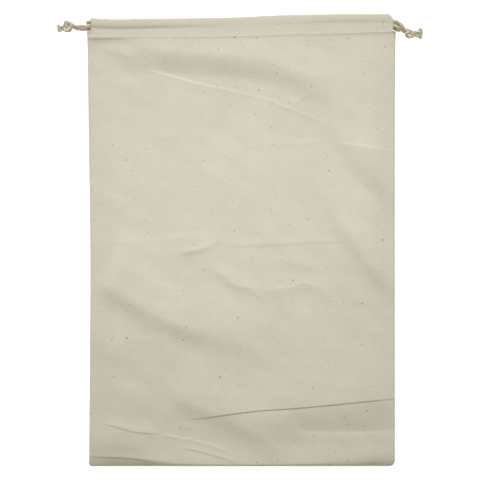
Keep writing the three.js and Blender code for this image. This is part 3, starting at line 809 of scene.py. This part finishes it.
def cord_mesh(name, line, cord, knot_reach=None, end=None):
    """Twisted cord along a line, squeezed in its knot, and wider and flatter towards its cut end."""
    along = travelled(line)
    scale = np.full(len(line), cord.diameter / MM / 2)
    wide, flat = np.ones((2, len(line)))
    if knot_reach:
        reach = KNOT_SQUEEZE["reach"]
        within = smooth(0, reach, along - knot_reach[0]) * smooth(0, -reach, along - knot_reach[1])
        scale *= lerp(1.0, KNOT_SQUEEZE["share"], within)
    if end:
        left = along[-1] - along
        share = smooth(end["reach"], 0.0, left)
        wide, flat = lerp(1.0, end["widen"], share), lerp(1.0, end["flatten"], share)
        scale *= np.sqrt(np.maximum(TIP_SHARE, 1.0 - np.maximum(0.0, 1.0 - left / end["round"]) ** 2))
    angles = 2 * math.pi * np.arange(CORD_SIDES) / CORD_SIDES
    from_ply = np.abs((angles * PLIES / (2 * math.pi)) % 1.0 - 0.5) * 2.0
    outline = 1.0 - cord.groove * (1.0 - np.sqrt(np.clip(1.0 - (1.0 - from_ply) ** 2, 0.0, 1.0)))
    tangents = np.gradient(line, axis=0)
    tangents /= np.linalg.norm(tangents, axis=1, keepdims=True)
    normal = np.cross(tangents[0], RING_AIM)
    rings = []
    for i, tangent in enumerate(tangents):
        normal = normal - tangent * normal.dot(tangent)
        normal /= np.linalg.norm(normal)
        side = np.cross(tangent, normal)
        turned = angles + 2 * math.pi * along[i] * MM / cord.twist_pitch
        ring = np.outer(np.cos(turned) * outline, normal) + np.outer(np.sin(turned) * outline, side)
        level = np.cross(UP, tangent)
        level /= max(np.linalg.norm(level), NEARLY_UPRIGHT)
        ring += np.outer(ring @ level * (wide[i] - 1.0), level)
        ring[:, 2] *= flat[i]
        rings.append(line[i] + ring * scale[i])
    return tube_mesh(name, np.array(rings), 1.0 - from_ply, along)


# Nodes and materials

def add_node(tree, kind, inputs=None, **settings):
    """Adds a node, sets its properties, and fills its inputs: a node given there links its first output."""
    node = tree.nodes.new(kind)
    for name, value in settings.items():
        setattr(node, name, value)
    for name, value in (inputs or {}).items():
        source = value.outputs[0] if isinstance(value, bpy.types.Node) else value
        if isinstance(source, bpy.types.NodeSocket):
            tree.links.new(source, node.inputs[name])
        else:
            node.inputs[name].default_value = source
    return node


def new_material(name):
    """Material with an empty node tree."""
    material = bpy.data.materials.new(name)
    material.use_nodes = True
    material.node_tree.nodes.clear()
    return material, material.node_tree


def surfaced(tree, shader, bump=None):
    """Ends a material with its shader, over a bump where it has one."""
    if bump:
        shader["Normal"] = add_node(tree, "ShaderNodeBump", bump)
    skin = add_node(tree, "ShaderNodeBsdfPrincipled", shader)
    add_node(tree, "ShaderNodeOutputMaterial", {"Surface": skin})


def toned(tree, colour, grain, low, high, span=NOISE_SPAN):
    """Colour that a grain makes deeper and paler."""
    tone = add_node(tree, "ShaderNodeMapRange", {
        "Value": grain, "From Min": span[0], "From Max": span[1], "To Min": low, "To Max": high})
    return add_node(tree, "ShaderNodeVectorMath", {0: colour, "Scale": tone}, operation="SCALE")


def cell_scale(wide, tall):
    """Scale of a pattern whose cells have a width and a height in millimetres."""
    return 1 / (wide * MM), 1 / (tall * MM), 1.0


def muslin_material(cloth):
    """Unbleached cotton muslin, plain woven: matt, with uneven yarns, slubs and dark bits of seed."""
    material, tree = new_material("unbleached_cotton_muslin")
    place = add_node(tree, "ShaderNodeTexCoord").outputs["UV"]
    patches = add_node(tree, "ShaderNodeTexNoise", {
        "Vector": place, "Scale": 1 / (PATCH_SIZE * MM), "Detail": 3.0})
    # The real threads are about 0.4 mm apart, too fine to show, so they are drawn at the weave pitch. Each
    # goes over and under in two pitches, and Blender's wave repeats in pi / 10 at a scale of 1.
    waves = [
        add_node(tree, "ShaderNodeTexWave", {
            "Vector": place, "Scale": math.pi / 10 / (2 * cloth.weave_pitch), "Distortion": 1.2,
            "Detail": 1.0, "Detail Scale": 0.2}, bands_direction=direction).outputs["Fac"]
        for direction in ("X", "Y")
    ]
    weave = add_node(tree, "ShaderNodeMath", {0: waves[0], 1: waves[1]}, operation="MULTIPLY")
    yarns = []
    for size in YARNS:
        stretched = add_node(tree, "ShaderNodeMapping", {"Vector": place, "Scale": cell_scale(*size)})
        yarns.append(add_node(tree, "ShaderNodeTexNoise", {"Vector": stretched, "Scale": 1.0, "Detail": 1.5}))
    # Painted shade: the casing's doubled cloth lets less light through, so its colour is made deeper.
    doubled = add_node(tree, "ShaderNodeAttribute", attribute_name="doubled").outputs["Fac"]
    tone = add_node(tree, "ShaderNodeMapRange", {"Value": doubled, "To Min": 1.0, "To Max": DOUBLED_CLOTH_SHADE})
    for source, (low, high) in zip((patches, *yarns, weave), TONES):
        spread = add_node(tree, "ShaderNodeMapRange", {
            "Value": source, "From Min": NOISE_SPAN[0], "From Max": NOISE_SPAN[1],
            "To Min": low, "To Max": high}, clamp=False)
        tone = add_node(tree, "ShaderNodeMath", {0: tone, 1: spread}, operation="MULTIPLY")
    shade = add_node(tree, "ShaderNodeVectorMath", {0: tuple(cloth.colour), "Scale": tone}, operation="SCALE")
    colour = flecked(tree, place, shade, cloth)
    lift = add_node(tree, "ShaderNodeMath", {0: weave, 1: WEAVE_LIFT, 2: yarns[0]}, operation="MULTIPLY_ADD")
    surfaced(
        tree,
        {"Base Color": colour, "Roughness": 0.95, "IOR": 1.5, "Specular IOR Level": 0.15,
         "Sheen Weight": 0.12, "Sheen Roughness": 0.5},
        {"Height": lift, "Strength": 0.2, "Distance": 0.2 * MM})
    return material


def flecked(tree, place, colour, cloth):
    """Colour of the muslin with torn bits of seed and slubs in it."""
    torn = add_node(tree, "ShaderNodeTexNoise", {
        "Vector": place, "Scale": 1 / (TORN["size"] * MM), "Detail": 1.0}).outputs["Color"]
    shift = add_node(tree, "ShaderNodeVectorMath", {0: torn, 1: (0.5, 0.5, 0.5)}, operation="SUBTRACT")
    ragged = add_node(tree, "ShaderNodeVectorMath", {
        0: shift, 1: (TORN["reach"] * MM,) * 3, 2: place}, operation="MULTIPLY_ADD")
    for wide, tall, empty, faint, dark, reach in FLECKS:
        stretched = add_node(tree, "ShaderNodeMapping", {"Vector": ragged, "Scale": cell_scale(wide, tall)})
        cells = add_node(tree, "ShaderNodeTexVoronoi", {
            "Vector": stretched, "Scale": 1.0, "Randomness": 1.0}, voronoi_dimensions="2D")
        pick, deep, large = add_node(tree, "ShaderNodeSeparateColor", {0: cells.outputs["Color"]}).outputs
        chosen = add_node(tree, "ShaderNodeMapRange", {
            "Value": pick, "From Min": empty, "From Max": empty + PICK_STEP})
        depth = add_node(tree, "ShaderNodeMapRange", {"Value": deep, "To Min": faint, "To Max": dark})
        size = add_node(tree, "ShaderNodeMapRange", {
            "Value": large, "To Min": FLECK_SIZES[0], "To Max": FLECK_SIZES[1]})
        away = add_node(tree, "ShaderNodeMath", {0: cells, 1: size}, operation="MULTIPLY")
        dot = add_node(tree, "ShaderNodeMapRange", {
            "Value": away, "From Min": reach, "From Max": reach * FLECK_CORE})
        seen = add_node(tree, "ShaderNodeMath", {0: dot, 1: depth}, operation="MULTIPLY")
        fleck = add_node(tree, "ShaderNodeMath", {0: chosen, 1: seen}, operation="MULTIPLY")
        colour = add_node(tree, "ShaderNodeMix", {
            0: fleck, 6: colour, 7: (*cloth.fleck_colour, 1.0)}, data_type="RGBA").outputs[2]
    return colour


def cord_material(cord):
    """Soft twisted cotton cord: matt and fibrous, with painted shade between its plies."""
    material, tree = new_material("twisted_cotton_cord")
    course = add_node(tree, "ShaderNodeTexCoord").outputs["UV"]
    stretched = add_node(tree, "ShaderNodeMapping", {
        "Vector": course, "Scale": (1 / (CORD_FIBRE["length"] * MM), 1 / CORD_FIBRE["girth"], 1.0)})
    fibres = add_node(tree, "ShaderNodeTexNoise", {"Vector": stretched, "Scale": 1.0, "Detail": 2.0})
    # Painted shade: the grooves between the plies are given the darker groove shade colour.
    groove = add_node(tree, "ShaderNodeAttribute", attribute_name="groove").outputs["Fac"]
    groove_shade_mask = add_node(tree, "ShaderNodeMapRange", {"Value": groove, "From Min": GROOVE_SHADE_EDGE})
    colour = add_node(tree, "ShaderNodeMix", {
        0: groove_shade_mask, 6: (*cord.colour, 1.0), 7: (*cord.groove_shade_colour, 1.0)}, data_type="RGBA").outputs[2]
    surfaced(
        tree,
        {"Base Color": toned(tree, colour, fibres, low=0.9, high=1.08), "Roughness": 0.9, "IOR": 1.5,
         "Specular IOR Level": 0.2, "Sheen Weight": 0.2, "Sheen Roughness": 0.5},
        {"Height": fibres, "Strength": 0.5, "Distance": 0.3 * MM})
    return material


def thread_material(stitch):
    """Spun cotton sewing thread: slightly smoother and paler than the cloth, with its twist as a grain."""
    material, tree = new_material("cotton_sewing_thread")
    place = add_node(tree, "ShaderNodeTexCoord").outputs["Object"]
    grain = add_node(tree, "ShaderNodeTexNoise", {
        "Vector": place, "Scale": 1 / (THREAD_TWIST * MM), "Detail": 1.0})
    colour = toned(tree, tuple(stitch.colour), grain, low=0.92, high=1.05)
    surfaced(
        tree,
        {"Base Color": colour, "Roughness": 0.75, "IOR": 1.5, "Specular IOR Level": 0.25},
        {"Height": grain, "Strength": 0.3, "Distance": 0.1 * MM})
    return material


def paper_material(stage):
    """Pale seamless background paper: matt and even, with a faint grain."""
    material, tree = new_material("pale_background_paper")
    place = add_node(tree, "ShaderNodeTexCoord").outputs["Object"]
    grain = add_node(tree, "ShaderNodeTexNoise", {
        "Vector": place, "Scale": 1 / (PAPER_GRAIN * MM), "Detail": 2.0})
    colour = toned(tree, tuple(stage.floor_colour), grain, low=0.99, high=1.0, span=(0.0, 1.0))
    surfaced(tree, {
        "Base Color": colour, "Roughness": 1.0, "Specular IOR Level": 0.0,
        "Emission Color": (1.0, 1.0, 1.0, 1.0), "Emission Strength": stage.glow})
    return material


# Geometry Nodes

def node_group(name, sizes):
    """Geometry node tree with a geometry, a material and named sizes going in."""
    tree = bpy.data.node_groups.new(name, "GeometryNodeTree")
    tree.interface.new_socket("Geometry", in_out="INPUT", socket_type="NodeSocketGeometry")
    tree.interface.new_socket("Material", in_out="INPUT", socket_type="NodeSocketMaterial")
    for size in sizes:
        tree.interface.new_socket(size, in_out="INPUT", socket_type="NodeSocketFloat")
    tree.interface.new_socket("Geometry", in_out="OUTPUT", socket_type="NodeSocketGeometry")
    return tree, add_node(tree, "NodeGroupInput").outputs


def finish_group(tree, instances, material):
    """Ends a tree by making its instances real and giving them their material."""
    real = add_node(tree, "GeometryNodeRealizeInstances", {0: instances})
    painted = add_node(tree, "GeometryNodeSetMaterial", {"Geometry": real, "Material": material})
    rounded = add_node(tree, "GeometryNodeSetShadeSmooth", {"Geometry": painted, "Shade Smooth": True})
    add_node(tree, "NodeGroupOutput", {0: rounded})


def stitch_group():
    """Stitches of thread lying end to end along a row of edges, each slightly askew."""
    tree, given = node_group("Stitch Row", ("Pitch", "Length", "Thread"))
    row = add_node(tree, "GeometryNodeMeshToCurve", {0: given["Geometry"]})
    spots = add_node(tree, "GeometryNodeCurveToPoints", {
        "Curve": row, "Length": given["Pitch"]}, mode="LENGTH")
    ball = add_node(tree, "GeometryNodeMeshUVSphere", {"Segments": 8, "Rings": 6, "Radius": 0.5})
    shape = add_node(tree, "ShaderNodeCombineXYZ", {
        "X": given["Length"], "Y": given["Thread"], "Z": given["Thread"]})
    thread = add_node(tree, "GeometryNodeTransform", {"Geometry": ball, "Scale": shape})
    laid = add_node(tree, "FunctionNodeAlignRotationToVector", {"Vector": spots.outputs["Tangent"]}, axis="X")
    slant = add_node(tree, "FunctionNodeRandomValue", {
        "Min": (0.0, -0.02, -0.07), "Max": (0.0, 0.02, 0.07), "Seed": 3}, data_type="FLOAT_VECTOR")
    turn = add_node(tree, "FunctionNodeEulerToRotation", {0: slant})
    turned = add_node(tree, "FunctionNodeRotateRotation", {0: laid, 1: turn}, rotation_space="LOCAL")
    sewn = add_node(tree, "GeometryNodeInstanceOnPoints", {
        "Points": spots, "Instance": thread, "Rotation": turned})
    finish_group(tree, sewn, given["Material"])
    return tree


def fibre_group():
    """Loose curved fibres standing on points, turned and sized by the points' attributes."""
    tree, given = node_group("Loose Fibres", ("Thickness",))
    spots = add_node(tree, "GeometryNodeMeshToPoints", {0: given["Geometry"]})
    bent = add_node(tree, "GeometryNodeCurveQuadraticBezier", {
        "Resolution": 5, "Start": (0.0, 0.0, 0.0), "Middle": (0.14, 0.0, 0.5), "End": (0.0, 0.05, 1.0)})
    along = add_node(tree, "GeometryNodeSplineParameter").outputs["Factor"]
    taper = add_node(tree, "ShaderNodeMapRange", {"Value": along, "To Min": 1.0, "To Max": 0.35})
    thinned = add_node(tree, "GeometryNodeSetCurveRadius", {"Curve": bent, "Radius": taper})
    girth = add_node(tree, "ShaderNodeMath", {0: given["Thickness"], 1: 0.5}, operation="MULTIPLY")
    ring = add_node(tree, "GeometryNodeCurvePrimitiveCircle", {"Resolution": 5, "Radius": girth})
    fibre = add_node(tree, "GeometryNodeCurveToMesh", {
        "Curve": thinned, "Profile Curve": ring, "Fill Caps": True})
    turn, size = (
        add_node(tree, "GeometryNodeInputNamedAttribute", {"Name": name}, data_type="FLOAT_VECTOR")
        for name in ("turn", "size")
    )
    rotation = add_node(tree, "FunctionNodeEulerToRotation", {0: turn})
    standing = add_node(tree, "GeometryNodeInstanceOnPoints", {
        "Points": spots, "Instance": fibre, "Rotation": rotation, "Scale": size})
    finish_group(tree, standing, given["Material"])
    return tree


# Pieces

def placed(name, data):
    """Object in the scene."""
    made = bpy.data.objects.new(name, data)
    bpy.context.collection.objects.link(made)
    return made


def grown(name, host_mesh, tree, inputs):
    """Plain mesh that a node tree makes on a host mesh."""
    host = placed(name + "_host", host_mesh)
    modifier = host.modifiers.new(tree.name, "NODES")
    modifier.node_group = tree
    sockets = {item.name: item.identifier for item in tree.interface.items_tree if item.in_out == "INPUT"}
    for socket, value in inputs.items():
        modifier[sockets[socket]] = value
    evaluated = host.evaluated_get(bpy.context.evaluated_depsgraph_get())
    mesh = bpy.data.meshes.new_from_object(evaluated)
    host.modifiers.remove(modifier)
    bpy.data.objects.remove(host)
    bpy.data.meshes.remove(host_mesh)
    mesh.name = name
    return mesh


def piece(name, mesh, node=None, material=None):
    """Object of the bag's one body and the solid that it replaces."""
    made = placed(name, mesh)
    if material:
        mesh.materials.append(material)
    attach(made, "root")
    if node:
        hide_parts(node)
    return made


# Operators

class HAMBAG_OT_stage(Operator):
    """Make the floor, the soft light and a camera straight above the bag"""

    bl_idname = "hambag.stage"
    bl_label = "Plain Stage"

    def execute(self, context):
        stage = context.scene.ham_bag.stage
        self.camera(context.scene)
        self.floor(stage)
        self.lights(context.scene, stage)
        context.scene.view_settings.view_transform = "Standard"
        return {"FINISHED"}

    def camera(self, scene):
        """Camera that sees what the photograph takes in."""
        data = bpy.data.cameras.new("photo_camera")
        data.sensor_fit = "HORIZONTAL"
        data.lens = data.sensor_width * (CAMERA_HEIGHT - BAG_HEIGHT) / VIEW_WIDTH
        camera = placed("photo_camera", data)
        camera.location = (*VIEW_CENTRE, CAMERA_HEIGHT)
        scene.camera = camera

    def floor(self, stage):
        """Wide sheet of paper under the bag."""
        mesh = bpy.data.meshes.new("floor")
        low, high = -FLOOR_REACH, FLOOR_REACH
        corners = [(low, low, 0.0), (high, low, 0.0), (high, high, 0.0), (low, high, 0.0)]
        mesh.from_pydata(corners, [], [(0, 1, 2, 3)])
        mesh.materials.append(paper_material(stage))
        placed("floor", mesh)

    def lights(self, scene, stage):
        """Low broad light above the mouth, a small one overhead and a dim room."""
        for name, place, size in LIGHTS:
            title = name + "_light"
            data = bpy.data.lights.new(title, "AREA")
            data.shape = "RECTANGLE"
            data.size, data.size_y = size
            data.energy = getattr(stage, name + "_power")
            light = placed(title, data)
            light.location = place
            light.rotation_euler = (-light.location).to_track_quat("-Z", "Y").to_euler()
            light.visible_camera = False
        world = bpy.data.worlds.new("soft_room")
        world.use_nodes = True
        background = world.node_tree.nodes["Background"]
        background.inputs["Color"].default_value = (*stage.room_colour, 1.0)
        background.inputs["Strength"].default_value = stage.ambient
        scene.world = world


class HAMBAG_OT_drawcords(Operator):
    """Make the two drawcords, with their knots and cut ends"""

    bl_idname = "hambag.drawcords"
    bl_label = "Drawcords"

    def execute(self, context):
        cord = context.scene.ham_bag.cord
        material = cord_material(cord)
        fibres = fibre_group()
        self.drawcord("left", "right", LEFT_ROUTE, cord, material, fibres)
        self.drawcord("right", "left", RIGHT_ROUTE, cord, material, fibres)
        return {"FINISHED"}

    def drawcord(self, near, far, route, cord, material, fibres):
        """One cord: its run round both casings, and two free ends with their frayed cuts."""
        node = "drawcord_" + near
        entries = CORD_ENTRY[near], CORD_ENTRY[far]
        run = cord_mesh(node + "_run", hidden_run(route, *entries), cord)
        piece(node + "_run", run, node, material)
        for layer in ("front", "back"):
            name = node + "_" + layer + "_end"
            line, knot_reach = free_strand(route, layer, *entries)
            twisted = cord_mesh(name, line, cord, knot_reach, route["end"])
            strand = piece(name, twisted, node, material)
            title = name + "_fibres"
            thickness = cord.fibre / (route["end"]["length"] * MM)
            tuft = grown(title, self.tuft(title, line, route, cord), fibres, {
                "Material": material, "Thickness": thickness})
            frayed = piece(title, tuft, node)

    def tuft(self, name, line, route, cord):
        """Points that the fibres of a cut end stand on, with the turn and the size of each."""
        end = route["end"]
        count = end["fibres"]
        random = np.random.default_rng(cord.seed + (0 if route["outward"] < 0 else 1))
        aim = line[-1] - line[-3]
        aim /= np.linalg.norm(aim)
        across = np.cross(UP, aim)
        up = np.cross(aim, across)
        radius = cord.diameter / MM / 2 * FIBRE_FILL
        bearing = random.uniform(0.0, 2 * math.pi, count)
        out = radius * np.sqrt(random.uniform(0.0, 1.0, count))
        wide, flat = out * np.cos(bearing) * end["widen"], out * np.sin(bearing) * end["flatten"]
        points = line[-1] - aim * end["start"] + np.outer(wide, across) + np.outer(flat, up)
        turns, sizes = [], []
        for i in range(count):
            sideways = across * (wide[i] / radius + random.normal(0.0, FIBRE_STRAY))
            lean = sideways + up * (flat[i] / radius * FIBRE_RISE)
            length = end["length"] * random.uniform(*FIBRE_LENGTHS)
            direction = aim + lean * end["spread"]
            direction /= np.linalg.norm(direction)
            direction[2] = max(direction[2], (FLOOR_CLEAR - points[i, 2]) / length)
            turns.append(tuple(Vector(direction).normalized().to_track_quat("Z", "Y").to_euler()))
            sizes.append((length * MM,) * 3)
        host = bpy.data.meshes.new(name + "_host")
        host.from_pydata((points * MM).tolist(), [], [])
        for attribute, values in (("turn", turns), ("size", sizes)):
            data = host.attributes.new(attribute, "FLOAT_VECTOR", "POINT").data
            data.foreach_set("vector", np.array(values).ravel())
        return host


class HAMBAG_OT_panels(Operator):
    """Make the front and the back panel of muslin"""

    bl_idname = "hambag.panels"
    bl_label = "Cloth Panels"

    def execute(self, context):
        cloth = context.scene.ham_bag.cloth
        material = muslin_material(cloth)
        back = self.panel("back", cloth, material, ())
        self.panel("front", cloth, material, (back,))
        return {"FINISHED"}

    def panel(self, side, cloth, material, rests_on):
        """One panel, its outside turned away from the other."""
        name = side + "_panel_cloth"
        points, layers = panel_points(side, cloth.seed)
        if side == "back":
            points = points[:, ::-1]
        mesh = sheet_mesh(name, points, layers, cloth.thickness)
        made = piece(name, mesh, side + "_panel", material)
        return made


class HAMBAG_OT_stitches(Operator):
    """Sew the row of stitches that closes each casing"""

    bl_idname = "hambag.stitches"
    bl_label = "Casing Stitches"

    def execute(self, context):
        settings = context.scene.ham_bag
        stitch = settings.stitch
        material = thread_material(stitch)
        tree = stitch_group()
        x = np.linspace(STITCH_INSET - WIDTH / 2, WIDTH / 2 - STITCH_INSET, STITCH_POINTS)
        line = follow(STITCH_LINE, x)
        depth = top_edge(x) - line
        y = line + STITCH_RISE
        share = np.full(x.shape, STITCH_SHARE)
        outer, _inner = casing_layers("front", x, y, share, depth, depth - STITCH_RISE)
        half = settings.cloth.thickness / MM / 2
        for side, z in (("front", outer + half), ("back", np.full(x.shape, BACK_OUTER - half))):
            name = side + "_casing_stitches"
            host = bpy.data.meshes.new(name + "_host")
            points = np.stack((x, y, z), axis=1) * MM
            host.from_pydata(points.tolist(), [(i, i + 1) for i in range(len(x) - 1)], [])
            stitches = grown(name, host, tree, {
                "Material": material, "Pitch": stitch.pitch, "Length": stitch.length,
                "Thread": stitch.thread * THREAD_SHOWN[side]})
            piece(name, stitches)
        return {"FINISHED"}


class HAMBAG_PT_pieces(Panel):
    """Lists the pieces of the bag and their settings"""

    bl_idname = "HAMBAG_PT_pieces"
    bl_label = "Ham Bag"
    bl_space_type = "VIEW_3D"
    bl_region_type = "UI"
    bl_category = "Ham Bag"

    def draw(self, context):
        settings = context.scene.ham_bag
        for group, operator in (
            (settings.stage, HAMBAG_OT_stage), (settings.cord, HAMBAG_OT_drawcords),
            (settings.cloth, HAMBAG_OT_panels), (settings.stitch, HAMBAG_OT_stitches),
        ):
            box = self.layout.box()
            box.operator(operator.bl_idname)
            for name in group.bl_rna.properties.keys():
                if name not in ("name", "rna_type"):
                    box.prop(group, name)


CLASSES = (
    ClothSettings, CordSettings, StitchSettings, StageSettings, HamBagSettings,
    HAMBAG_OT_stage, HAMBAG_OT_drawcords, HAMBAG_OT_panels, HAMBAG_OT_stitches, HAMBAG_PT_pieces,
)


def register():
    """Adds the classes and the bag's settings."""
    for cls in CLASSES:
        bpy.utils.register_class(cls)
    bpy.types.Scene.ham_bag = PointerProperty(type=HamBagSettings)


def unregister():
    """Takes the settings and the classes away."""
    del bpy.types.Scene.ham_bag
    for cls in reversed(CLASSES):
        bpy.utils.unregister_class(cls)


def main():
    """Builds the bag piece by piece."""
    register()
    bpy.ops.hambag.stage()
    bpy.ops.hambag.drawcords()
    bpy.ops.hambag.panels()
    bpy.ops.hambag.stitches()


if __name__ == "__main__":
    main()
